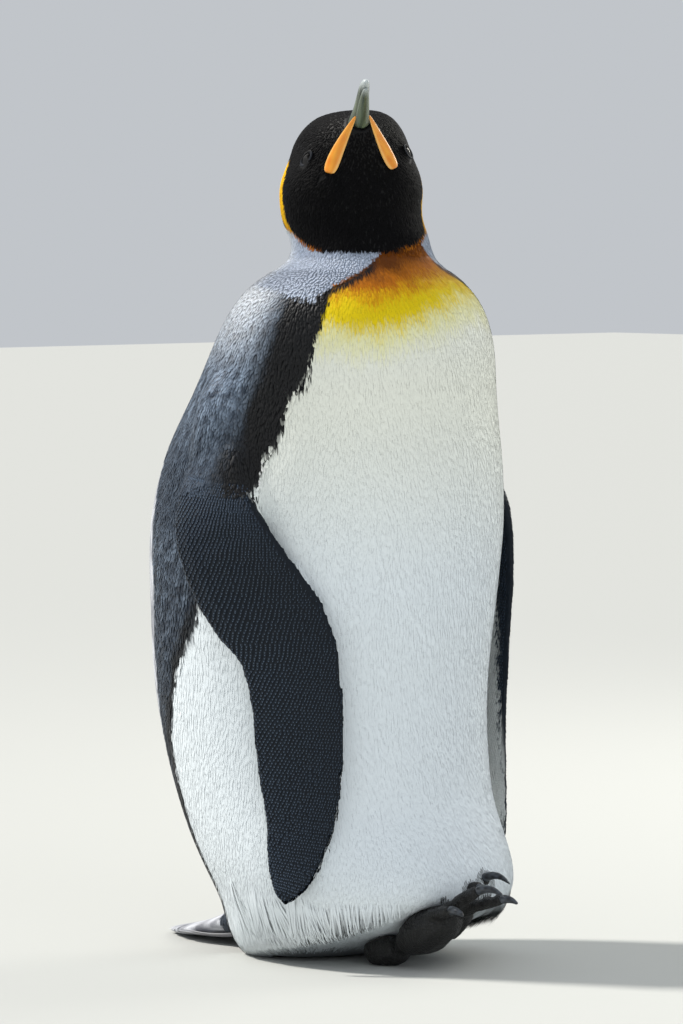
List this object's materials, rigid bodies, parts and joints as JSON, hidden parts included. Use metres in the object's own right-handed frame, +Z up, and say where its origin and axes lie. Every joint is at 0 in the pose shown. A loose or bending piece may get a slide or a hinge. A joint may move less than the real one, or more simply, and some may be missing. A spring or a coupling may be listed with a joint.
{
  "type": "king penguin",
  "caption": "Life-size still model of a standing king penguin resting back on its heels and tail, toes lifted, neck drawn in and bill raised.",
  "frame": {"origin": "middle of the base, at the floor that the heels, the hem of the plumage and the tail rest on", "axes": "+Z up; the bird faces -Y, and its right side is on -X"},
  "size_m": [0.3634, 0.4778, 0.7865],
  "materials": {
    "plumage_white": "dense silky white feathers, yellow to orange on the bib",
    "plumage_silver": "short silver-blue feathers with dark roots",
    "plumage_black": "velvety short black feathers, orange-yellow ear patches",
    "plumage_slate": "small stiff slate-black feathers with pale tips",
    "foot_skin": "scaly charcoal skin",
    "claw_horn": "dark polished horn",
    "bill_horn": "dark olive horn, pale at the tip",
    "plate_orange": "smooth orange plate with a paler rim",
    "eye_brown": "wet dark brown"
  },
  "bodies": {
    "root": {"trunk": "plumage_white", "neck": "plumage_silver", "head": "plumage_black", "bill_upper": "bill_horn", "bill_lower": "bill_horn", "tail": "plumage_slate", "plate_right": "plate_orange", "eye_right": "eye_brown", "flipper_right": "plumage_slate", "leg_right": "foot_skin", "foot_right": "foot_skin", "claw_right_inner": "claw_horn", "claw_right_middle": "claw_horn", "claw_right_outer": "claw_horn", "plate_left": "plate_orange", "eye_left": "eye_brown", "flipper_left": "plumage_slate", "leg_left": "foot_skin", "foot_left": "foot_skin", "claw_left_inner": "claw_horn", "claw_left_middle": "claw_horn", "claw_left_outer": "claw_horn"}
  },
  "joints": []
}
